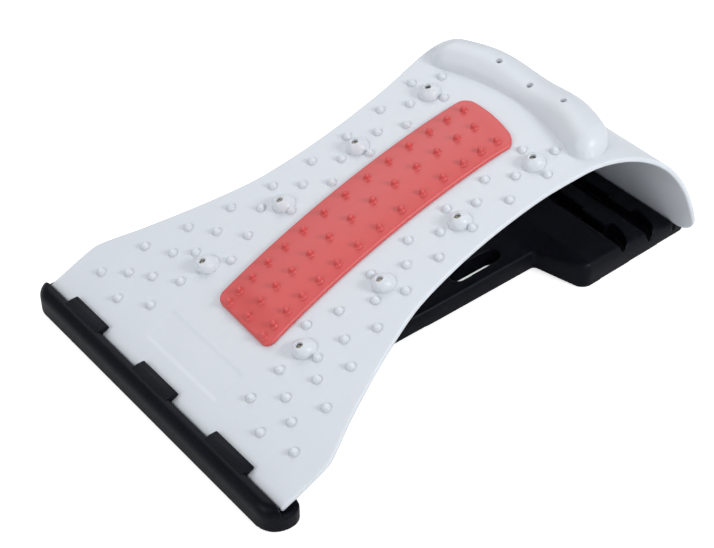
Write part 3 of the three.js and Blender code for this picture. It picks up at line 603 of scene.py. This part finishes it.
def copies(pattern, name, frames):
    """The pattern copied to every frame and joined into one mesh; the pattern is then gone."""
    made = []
    for place in frames:
        copy = pattern.copy()
        copy.data = pattern.data.copy()
        bpy.context.collection.objects.link(copy)
        copy.data.transform(place)
        made.append(copy)
    bpy.data.objects.remove(pattern)
    only(made[0])
    for copy in made:
        copy.select_set(True)
    bpy.ops.object.join()
    return settle(bpy.context.object, name)


for number, (x, y) in enumerate(foot_places, start=1):
    pattern = turned("sole", sole_profile, round_sides)
    sole = copies(pattern, f"rubber_sole_{number}", [Matrix.Translation((x, y, 0))])
    dress(sole, foot_rubber)
    only(sole)
    bpy.ops.object.shade_smooth_by_angle(angle=math.radians(35))
    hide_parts(f"rubber_foot_{number}")
    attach(sole, "base")

# Arched board: arch and outline
# The board is one white plastic sheet, flexed into an arch: it rises from the front edge,
# turns over a round crown and drops steeply to the rear. It is waisted like the base.
sheet_thickness, rim_round = 0.0028, 0.0011
crown_entry, crown_entry_angle, crown_radius = Vector((0.0723, 0.0755)), 11, 0.0569
rise_handle, drop_angle, drop_end, slot_sink = 0.037, 72, 0.0116, 0.0034
# Half widths of the board at distances along it.
sheet_outline = [
    (0, 0.0984), (0.0267, 0.0985), (0.0331, 0.0973), (0.0517, 0.0882), (0.0728, 0.0789),
    (0.0928, 0.0712), (0.1151, 0.0643), (0.1411, 0.0607), (0.1634, 0.0595), (0.1835, 0.0597),
    (0.2019, 0.0608), (0.2201, 0.0635), (0.2336, 0.0658), (0.2502, 0.0695), (0.2721, 0.0741),
    (0.2951, 0.0780), (0.3173, 0.0823), (0.3376, 0.0827),
]
front_corner_radius, rear_corner_radius = 0.0012, 0.015
label_low, label_high, label_half, label_depth = 0.0155, 0.0330, 0.0290, 0.00011


def heading(degrees):
    """A unit step in the XZ plane at an angle above the level."""
    return Vector((math.cos(math.radians(degrees)), math.sin(math.radians(degrees))))


arch = interpolate_bezier(
    sheet_front.to_3d(), (sheet_front + heading(sheet_front_angle) * rise_handle).to_3d(),
    (crown_entry - heading(crown_entry_angle) * rise_handle).to_3d(), crown_entry.to_3d(), 400,
)
arch = [point.to_2d() for point in arch]
crown_centre = crown_entry + heading(crown_entry_angle - 90) * crown_radius
for step in range(1, 121):
    angle = 90 + crown_entry_angle - (crown_entry_angle + drop_angle) * step / 120
    arch.append(crown_centre + heading(angle) * crown_radius)
drop_length = (arch[-1].y - drop_end) / math.sin(math.radians(drop_angle))
arch.append(arch[-1] + heading(-drop_angle) * drop_length)
arch_marks = [0.0]
for before, after in zip(arch, arch[1:]):
    arch_marks.append(arch_marks[-1] + (after - before).length)
sheet_length = arch_marks[-1]
arch.append(arch[-1] + heading(-drop_angle) * slot_sink)
arch_marks.append(sheet_length + slot_sink)
sheet_end = arch_marks[-1]


def arch_at(along):
    """The point on the arch line and its heading, at a distance along the sheet."""
    low, high = 0, len(arch_marks) - 2
    while low < high:
        half = (low + high + 1) // 2
        if arch_marks[half] <= along:
            low = half
        else:
            high = half - 1
    before, after = arch[low], arch[low + 1]
    run = after - before
    point = before + run * ((along - arch_marks[low]) / run.length)
    earlier, later = arch[max(low - 1, 0)], arch[min(low + 2, len(arch) - 1)]
    if low + 2 >= len(arch) - 1 or low == 0:
        return point, run.normalized()
    share = (along - arch_marks[low]) / run.length
    back, ahead = (after - earlier).normalized(), (later - before).normalized()
    return point, back.lerp(ahead, share).normalized()


def on_sheet(along, across, above):
    """A place on the board: along it, across it and above its top face."""
    point, run = arch_at(along)
    return Vector((point.x - run.y * above, across, point.y + run.x * above))


def sheet_frame(along, across, above=0.0):
    """A frame on the board with Z outward and X along it."""
    _, run = arch_at(along)
    turn = Matrix(((run.x, 0, -run.y), (0, 1, 0), (run.y, 0, run.x))).to_4x4()
    return Matrix.Translation(on_sheet(along, across, above)) @ turn


def along_table(table, at):
    """A smooth value between the places of a table."""
    if at <= table[0][0]:
        return table[0][1]
    if at >= table[-1][0]:
        return table[-1][1]
    i = next(n for n, (place, _) in enumerate(table) if place > at) - 1
    (x0, y0), (x1, y1) = table[i], table[i + 1]

    def slope(k):
        if k <= 0 or k >= len(table) - 1:
            return 0
        return (table[k + 1][1] - table[k - 1][1]) / (table[k + 1][0] - table[k - 1][0])

    span, share = x1 - x0, (at - x0) / (x1 - x0)
    bend = span * share * (1 - share) * ((1 - share) * slope(i) - share * slope(i + 1))
    return y0 + (y1 - y0) * share * share * (3 - 2 * share) + bend


def corner_cut(from_end, radius):
    """How far a round corner draws an edge in, at a distance from the end."""
    run = radius - min(max(from_end, 0), radius)
    return radius - math.sqrt(radius * radius - run * run)


def sheet_half(along):
    """Half the board's width at a distance along it."""
    return (
        along_table(sheet_outline, along)
        - corner_cut(along, front_corner_radius)
        - corner_cut(sheet_end - along, rear_corner_radius)
    )


# Arched board: neck pillow
# A crescent cushion for the neck, moulded in the sheet behind the crown: two humps with a
# dip between them, hollow below, and a soft fillet round its foot.
pillow_middle, pillow_bow, pillow_half_length = 0.2537, 0.0150, 0.060
pillow_half, pillow_ends, pillow_hump, pillow_dip = 0.0131, 0.0128, 0.0126, 0.0101
pillow_fillet, pillow_shell, pillow_hump_turn = 0.0055, 0.0024, 0.75 * math.pi
pillow_zone, pillow_foot, pillow_ridge, pillow_back = 0.2, 0.2230, 0.2420, 0.2680


def pillow_centre(across):
    """The ridge bows: its middle lies farther along the board than its ends."""
    return pillow_middle - pillow_bow * (across / pillow_half_length) ** 2


def pillow_height(across):
    """The ridge is highest on either side and dips in the middle."""
    share = min(abs(across) / (pillow_half_length - pillow_ends), 1)
    return pillow_dip + (pillow_hump - pillow_dip) * math.sin(share * pillow_hump_turn) ** 2


def pillow_rise(along, across, inset=0.0):
    """How far the pillow stands above the sheet, with a soft fillet round its foot."""
    over = max(abs(across) - (pillow_half_length - pillow_ends), 0) / (pillow_ends - inset)
    off = (along - pillow_centre(across)) / (pillow_half - inset)
    left = 1 - over * over - off * off
    height = pillow_height(across) - inset
    rise = math.copysign(math.sqrt(abs(left)), left) * height
    return max(rise, 0) + max(pillow_fillet - abs(rise), 0) ** 2 / (4 * pillow_fillet)


# Arched board: sheet
# The sheet's upper and lower faces are laid over its outline and bridged round the rim. Its
# rows and columns are close at the rim, the label recess and the pillow's foot.
askew, askew_start, askew_run = 0.0014, 0.006, 0.035


def sideways(along):
    """The board lies a little askew in its tray."""
    return askew * smooth_step((along - askew_start) / askew_run)


def span_marks(low, high, step):
    """Even marks from low up to high, high left out."""
    count = max(1, round((high - low) / step))
    return [low + (high - low) * n / count for n in range(count)]


rim_marks = [0, 0.08, 0.25, 0.5, 0.75, 1]
row_step, label_row_step, crisp = 0.0020, 0.0018, 0.0002
sheet_rows = [rim_round * mark for mark in rim_marks]
sheet_rows += span_marks(rim_round * 1.5, label_low - crisp, label_row_step)
sheet_rows += [label_low - crisp, label_low + crisp]
sheet_rows += span_marks(label_low + 0.0015, label_high - crisp, label_row_step)
sheet_rows += [label_high - crisp, label_high + crisp]
sheet_rows += span_marks(label_high + 0.0015, pillow_foot, row_step)
sheet_rows += span_marks(pillow_foot, pillow_ridge, 0.00045)
sheet_rows += span_marks(pillow_ridge, pillow_back, 0.0009)
sheet_rows += span_marks(pillow_back, sheet_end - rear_corner_radius, row_step)
for step in range(14):
    sheet_rows.append(sheet_end - rear_corner_radius * (1 - math.sin(step / 14 * math.pi / 2)))
sheet_rows = [mark for mark in sheet_rows if mark < sheet_end - rim_round * 1.1]
sheet_rows += [sheet_end - rim_round * mark for mark in reversed(rim_marks)]

rim_columns = len(rim_marks)
front_inner_half, label_side, label_clear = 0.0974, 0.0025, 0.006
label_share = label_half / front_inner_half
inner_shares = [-1 + 2 * n / 96 for n in range(97)]
inner_shares = [share for share in inner_shares if abs(abs(share) - label_share) > label_clear]
for side in (1, -1):
    inner_shares += [side * (label_share - label_side), side * (label_share + label_side)]
inner_shares.sort()
sheet_columns = len(inner_shares) + 2 * (rim_columns - 1) - 1


def column_place(column, half):
    """Across-place of a column: close columns over the round rim, even ones between."""
    if column < rim_columns - 1:
        return -half + rim_round * rim_marks[column]
    if column > sheet_columns - rim_columns + 1:
        return half - rim_round * rim_marks[sheet_columns - column]
    return (half - rim_round) * inner_shares[column - rim_columns + 1]


def rim_drop(along, across, half):
    """How far the round rim falls below the face."""
    slope = (sheet_half(min(along + 1e-4, sheet_end)) - sheet_half(max(along - 1e-4, 0))) / 2e-4
    aside = (half - abs(across)) / math.sqrt(1 + min(slope * slope, 60))
    inward = min(aside, along, sheet_end - along)
    if inward >= rim_round:
        return 0
    run = rim_round - max(inward, 0)
    return rim_round - math.sqrt(max(rim_round * rim_round - run * run, 0))


def label_dip(along, across):
    """The bare shallow recess in which a label would lie."""
    inside = min(along - label_low, label_high - along, label_half - abs(across))
    return label_depth * smooth_step(inside / 0.0003 + 0.5)


def sheet_top(along, across, half):
    """Height of the upper face above the arch line."""
    face = pillow_rise(along, across) if along > pillow_zone else -label_dip(along, across)
    return face - rim_drop(along, across, half)


def sheet_under(along, across, half):
    """Height of the lower face, which follows the pillow from inside."""
    face = pillow_rise(along, across, pillow_shell) if along > pillow_zone else 0
    return face - sheet_thickness + rim_drop(along, across, half)


def laid_grid(name, rows, columns, place_at):
    """A flat grid, each of its points moved to its place on the arch."""
    bpy.ops.object.select_all(action="DESELECT")
    last = len(rows) - 1
    bpy.ops.mesh.primitive_grid_add(x_subdivisions=last, y_subdivisions=columns, size=2)
    grid = settle(bpy.context.object, name)
    for vertex in grid.data.vertices:
        along = rows[round((vertex.co.x + 1) / 2 * last)]
        vertex.co = place_at(along, round((vertex.co.y + 1) / 2 * columns))
    return grid


def closed_shell(face, back):
    """A face and its back are bridged round the rim into one closed shell."""
    only(face)
    back.select_set(True)
    bpy.ops.object.join()
    bpy.ops.object.mode_set(mode="EDIT")
    bpy.ops.mesh.select_mode(type="EDGE")
    bpy.ops.mesh.select_all(action="DESELECT")
    bpy.ops.mesh.select_non_manifold()
    bpy.ops.mesh.bridge_edge_loops()
    bpy.ops.mesh.select_all(action="SELECT")
    bpy.ops.mesh.normals_make_consistent(inside=False)
    bpy.ops.object.mode_set(mode="OBJECT")
    return face


def sheet_face(name, height_at):
    """One face of the sheet, over its whole outline."""
    def place_at(along, column):
        half = sheet_half(along)
        across = column_place(column, half)
        return on_sheet(along, across + sideways(along), height_at(along, across, half))

    return laid_grid(name, sheet_rows, sheet_columns, place_at)


board = closed_shell(sheet_face("board_sheet", sheet_top), sheet_face("underside", sheet_under))

# Arched board: pockets
# A round pocket goes up through the sheet below each dome, and a small hole opens the
# pillow above each of its magnets.
pad_to_pillow = 0.0301
pad_end = pillow_middle - pad_to_pillow
boss_rows, boss_first, boss_offset, boss_to_pad_end = 4, 0.0607, 0.0398, 0.0102
boss_pitch = (pad_end - boss_to_pad_end - boss_first) / (boss_rows - 1)
boss_places = [
    (boss_first + row * boss_pitch, side * boss_offset)
    for row in range(boss_rows) for side in (1, -1)
]
pillow_magnet_lead, pillow_magnet_offset = 0.0069, 0.024
pillow_places = [
    (pillow_middle - pillow_magnet_lead, across)
    for across in (pillow_magnet_offset, 0, -pillow_magnet_offset)
]
pocket_radius, peep_radius, magnet_roof, pillow_roof = 0.0033, 0.0018, 0.0019, 0.0034
cutters = []
for along, across in boss_places:
    cutter = turned("pocket", [(pocket_radius, -0.006), (pocket_radius, 0.0008)], round_sides)
    cutters.append(copies(cutter, "pocket", [sheet_frame(along, across)]))
for along, across in pillow_places:
    cutter = turned("peep", [(peep_radius, 0.0002), (peep_radius, 0.016)], round_sides)
    cutters.append(copies(cutter, "peep", [sheet_frame(along, across)]))
for cutter in cutters:
    combine(board, cutter, "DIFFERENCE")

# Arched board: magnet domes and posts
# A smooth dome over each pocket, with a small round hole that shows the magnet. Under the
# pillow, a post hangs down round each magnet to the level of the sheet's underside.
boss_radius, boss_height, boss_flare = 0.0060, 0.0056, 0.0003
dome_profile = [
    (pocket_radius, -0.0012), (pocket_radius, boss_height - magnet_roof),
    (peep_radius, boss_height - magnet_roof), (peep_radius, boss_height - 0.0006),
    (peep_radius + 0.0001, boss_height - 0.0003), (peep_radius + 0.0004, boss_height - 0.00015),
]
for step in range(1, 12):
    turn = math.pi / 2 * (1 - step / 12)
    radius = boss_radius * math.cos(turn)
    if radius > peep_radius + 0.0006:
        dome_profile.append((radius, boss_height * math.sin(turn)))
dome_profile += [
    (boss_radius + boss_flare * 0.1, 0.00035), (boss_radius + boss_flare * 0.5, 0.0001),
    (boss_radius + boss_flare * 1.1, -0.00004), (boss_radius + boss_flare * 1.2, -0.0004),
    (boss_radius, -0.0012), (pocket_radius, -0.0012),
]
dome_leans = (0.0018, 0.0016, 0.0010, 0.0003)
domes = []
for number, (along, across) in enumerate(boss_places):
    dome = turned("dome", dome_profile, 48, closed_ends=False)
    for vertex in dome.data.vertices:
        if math.hypot(vertex.co.x, vertex.co.y) > pocket_radius + 0.0001:
            vertex.co.x += dome_leans[number // 2] * (1 - vertex.co.z / boss_height)
    domes.append(copies(dome, "dome", [sheet_frame(along, across)]))
post_radius, post_shoulder = 0.0041, 0.0020
posts = []
for along, across in pillow_places:
    height = pillow_rise(along, across) - pillow_roof
    shoulder = pillow_rise(along - post_radius, across) - post_shoulder
    post_profile = [
        (pocket_radius, -sheet_thickness), (pocket_radius, height),
        (peep_radius, height), (peep_radius, height + 0.0012),
        (peep_radius + 0.0004, height + 0.0014), (post_radius, min(height + 0.0006, shoulder)),
        (post_radius, -sheet_thickness + 0.0003),
        (post_radius - 0.0003, -sheet_thickness), (pocket_radius, -sheet_thickness),
    ]
    post = turned("post", post_profile, round_sides, closed_ends=False)
    posts.append(copies(post, "post", [sheet_frame(along, across)]))

# Arched board: studs
# Sixty small round massage studs in mirrored halves, each running out into the sheet.
stud_radius, stud_height, stud_flare = 0.0021, 0.0026, 0.0006
# Places as shares of the board's length and of its half width there, for either side.
stud_shares = [
    (0.056, 0.609), (0.068, 0.822), (0.082, 0.428), (0.096, 0.698), (0.116, 0.589),
    (0.139, 0.454), (0.143, 0.834), (0.164, 0.687), (0.188, 0.602), (0.214, 0.39),
    (0.21, 0.832), (0.234, 0.68), (0.261, 0.506), (0.278, 0.833), (0.308, 0.68),
    (0.335, 0.492), (0.348, 0.83), (0.38, 0.661), (0.412, 0.493), (0.42, 0.824),
    (0.453, 0.647), (0.489, 0.502), (0.489, 0.821), (0.526, 0.645), (0.561, 0.83),
    (0.565, 0.503), (0.599, 0.665), (0.632, 0.833), (0.643, 0.473), (0.673, 0.667),
]
stud_profile = [
    (stud_radius + stud_flare * 1.15, -0.0006), (stud_radius + stud_flare * 1.15, -0.00004),
    (stud_radius + stud_flare * 0.4, 0.00008), (stud_radius + stud_flare * 0.02, 0.00032),
]
for step in range(2, 10):
    turn = math.pi / 2 * step / 10
    stud_profile.append((stud_radius * math.cos(turn), stud_height * math.sin(turn)))
stud_profile.append((0.00012, stud_height))
stud_frames = []
for along_share, across_share in stud_shares:
    along = along_share * sheet_length
    across = across_share * sheet_half(along)
    for side in (1, -1):
        stud_frames.append(sheet_frame(along, side * across + sideways(along)))
studs = copies(turned("stud", stud_profile, 24), "studs", stud_frames)

only(board)
for part in domes + [studs] + posts:
    part.select_set(True)
bpy.ops.object.join()
bpy.ops.object.shade_smooth_by_angle(angle=math.radians(38))

board_white = plastic(
    "board_white", (0.70, 0.735, 0.785), roughness=0.38,
    grain_size=0.0007, grain_depth=0.000008, gloss=0.45, mottle=0.008,
)
board_shader = board_white.node_tree.nodes["Principled BSDF"]
board_shader.inputs["Subsurface Weight"].default_value = 0.3
board_shader.inputs["Subsurface Radius"].default_value = (1.0, 1.0, 1.0)
board_shader.inputs["Subsurface Scale"].default_value = 0.0015
dress(board, board_white)
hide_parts("arch_board")
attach(board, "board")

# Red pad
# A soft red rubber pad stuck along the middle of the board, with low rounded edges and a
# slightly crowned back. It lies a little off the middle and askew.
pad_start, pad_half, pad_corner, pad_rear_bow = 0.0510, 0.02225, 0.0052, 1.7
pad_under, pad_edge, pad_crown, pad_round = 0.0002, 0.0020, 0.0042, 0.0012
pad_slant, pad_slant_growth, pad_arc, pad_arc_start = 0.045, 0.085, 0.0030, 0.190
front_drift, middle_drift, rear_drift = -0.0042, 0.0026, -0.0010
pad_crown_run, pad_tail_gap = 0.016, 0.0006
pad_tail = pad_end - pad_tail_gap
pad_length = pad_tail - pad_start


def pad_middle(along):
    """The pad's own middle line drifts from one side of the board's to the other."""
    share = min(max((along - pad_start) / pad_length, 0), 1)
    bow = middle_drift - (front_drift + rear_drift) / 2
    return (1 - share) * front_drift + share * rear_drift + 4 * bow * share * (1 - share)


def pad_askew(along, across):
    """The pad's cross lines slant a little towards its rear end, and bow out there."""
    bow = pad_arc * smooth_step((along - pad_arc_start) / (pad_tail - pad_arc_start))
    slant = pad_slant + pad_slant_growth * (along - pad_start) / pad_length
    return along + across * slant - bow * (across / pad_half) ** 2


def pad_half_at(along):
    """Half the pad's width, drawn in at its round corners."""
    cut = corner_cut(along - pad_start, pad_corner)
    return pad_half - cut - pad_rear_bow * corner_cut(pad_tail - along, pad_corner)


def pad_top(along, across):
    """Height of the pad's back above the sheet."""
    half = pad_half_at(along)
    from_end = min(along - pad_start, pad_tail - along)
    crown = (1 - (across / pad_half) ** 2) * smooth_step(from_end / pad_crown_run)
    inward = min(half - abs(across), from_end)
    run = pad_round - min(max(inward, 0), pad_round)
    drop = pad_round - math.sqrt(pad_round * pad_round - run * run)
    return pad_under + pad_edge + (pad_crown - pad_edge) * crown - drop


pad_rim = [0, 0.06, 0.2, 0.42, 0.7, 1]
pad_rows = [pad_start + pad_round * mark for mark in pad_rim]
pad_rows += [pad_start + pad_corner * (1 - math.cos(n / 10 * math.pi / 2)) for n in range(3, 11)]
pad_rows.sort()
pad_rows += span_marks(pad_start + pad_corner + 0.0015, pad_tail - pad_corner - 0.001, row_step)
pad_rows += [pad_tail - pad_corner * (1 - math.sin(n / 10 * math.pi / 2)) for n in range(0, 8)]
pad_rows = [mark for mark in pad_rows if mark < pad_tail - pad_round * 1.1]
pad_rows += [pad_tail - pad_round * mark for mark in reversed(pad_rim)]
pad_columns = 40 + 2 * (len(pad_rim) - 1)


def pad_place(column, half):
    """Across-place of a column on the pad: close over its rounded edges, even between."""
    count = len(pad_rim) - 1
    if column < count:
        return -half + pad_round * pad_rim[column]
    if column > pad_columns - count:
        return half - pad_round * pad_rim[pad_columns - column]
    return (half - pad_round) * (2 * (column - count) / (pad_columns - 2 * count) - 1)


def pad_face(name, height_at):
    """One face of the pad, askew on the board."""
    def place_at(along, column):
        across = pad_place(column, pad_half_at(along))
        height = height_at(along, across)
        return on_sheet(pad_askew(along, across), pad_middle(along) + across, height)

    return laid_grid(name, pad_rows, pad_columns, place_at)


pad_back = pad_face("pad_back", lambda along, across: pad_under)
pad = closed_shell(pad_face("massage_pad", pad_top), pad_back)

# Red pad: nubs
# Small rounded nubs moulded on the pad in three uneven columns, a little closer together
# towards its ends, with the rubber's soft dull gloss.
nub_profile = [
    (0.0025, -0.0005), (0.0025, -0.00003), (0.0021, 0.00012), (0.00178, 0.0004), (0.00160, 0.0010),
    (0.00148, 0.0017), (0.00130, 0.0023), (0.00100, 0.0028), (0.0006, 0.0031), (0.00008, 0.0032),
]
nub_offset, nub_shift = 0.0149, -0.0014
# Distances along the board of the nubs in the side columns and in the middle one.
side_rows = [
    0.0540, 0.0615, 0.0708, 0.0818, 0.0936, 0.1062, 0.1204,
    0.1349, 0.1497, 0.1640, 0.1776, 0.1909, 0.2028, 0.2139,
]
middle_rows = [
    0.0557, 0.0653, 0.0760, 0.0870, 0.0997, 0.1128, 0.1276,
    0.1425, 0.1571, 0.1717, 0.1852, 0.1982, 0.2093,
]
nub_frames = []
for rows, offsets in ((side_rows, (nub_offset, -nub_offset)), (middle_rows, (0,))):
    for along in rows:
        for offset in offsets:
            across = offset + nub_shift
            place = (pad_askew(along, across), pad_middle(along) + across)
            nub_frames.append(sheet_frame(*place, pad_top(along, across)))
nubs = copies(turned("nub", nub_profile, 20), "nubs", nub_frames)
only(pad)
nubs.select_set(True)
bpy.ops.object.join()
bpy.ops.object.shade_smooth_by_angle(angle=math.radians(50))

pad_red = plastic(
    "pad_red", (0.66, 0.080, 0.080), roughness=0.46,
    grain_size=0.0009, grain_depth=0.00001, gloss=0.75, mottle=0.02,
)
pad_shader = pad_red.node_tree.nodes["Principled BSDF"]
pad_shader.inputs["Subsurface Weight"].default_value = 0.06
pad_shader.inputs["Subsurface Radius"].default_value = (1.0, 0.25, 0.2)
pad_shader.inputs["Subsurface Scale"].default_value = 0.002
dress(pad, pad_red)
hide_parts("red_pad", "pad_tape")
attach(pad, "board")

# Magnets and plugs
# Plated magnet discs, dulled brown where they show in their holes, and the plain white
# plugs that close their pockets from below.
magnet_metal = bpy.data.materials.new("magnet_metal")
magnet_metal.use_nodes = True
nodes, links = magnet_metal.node_tree.nodes, magnet_metal.node_tree.links
metal = nodes["Principled BSDF"]
metal.inputs["Metallic"].default_value = 0.75
metal_place = nodes.new("ShaderNodeTexCoord")
metal_cloud = nodes.new("ShaderNodeTexNoise")
metal_cloud.inputs["Scale"].default_value = 900
metal_cloud.inputs["Detail"].default_value = 4
links.new(metal_place.outputs["Object"], metal_cloud.inputs["Vector"])
metal_tone = nodes.new("ShaderNodeValToRGB")
metal_tone.color_ramp.elements[0].position = 0.35
metal_tone.color_ramp.elements[0].color = (0.24, 0.21, 0.17, 1)
metal_tone.color_ramp.elements[1].position = 0.65
metal_tone.color_ramp.elements[1].color = (0.74, 0.69, 0.60, 1)
links.new(metal_cloud.outputs["Fac"], metal_tone.inputs["Fac"])
links.new(metal_tone.outputs["Color"], metal.inputs["Base Color"])
metal_rough = nodes.new("ShaderNodeMapRange")
metal_rough.inputs["To Min"].default_value = 0.25
metal_rough.inputs["To Max"].default_value = 0.5
links.new(metal_cloud.outputs["Fac"], metal_rough.inputs["Value"])
links.new(metal_rough.outputs["Result"], metal.inputs["Roughness"])

plug_white = plastic(
    "plug_white", (0.62, 0.655, 0.70), roughness=0.45,
    grain_size=0.0006, grain_depth=0.00001, gloss=0.4, mottle=0.02,
)
for name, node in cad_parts.items():
    if "magnet" in name:
        finish = plug_white if "plug" in name else magnet_metal
        dress(node, finish)
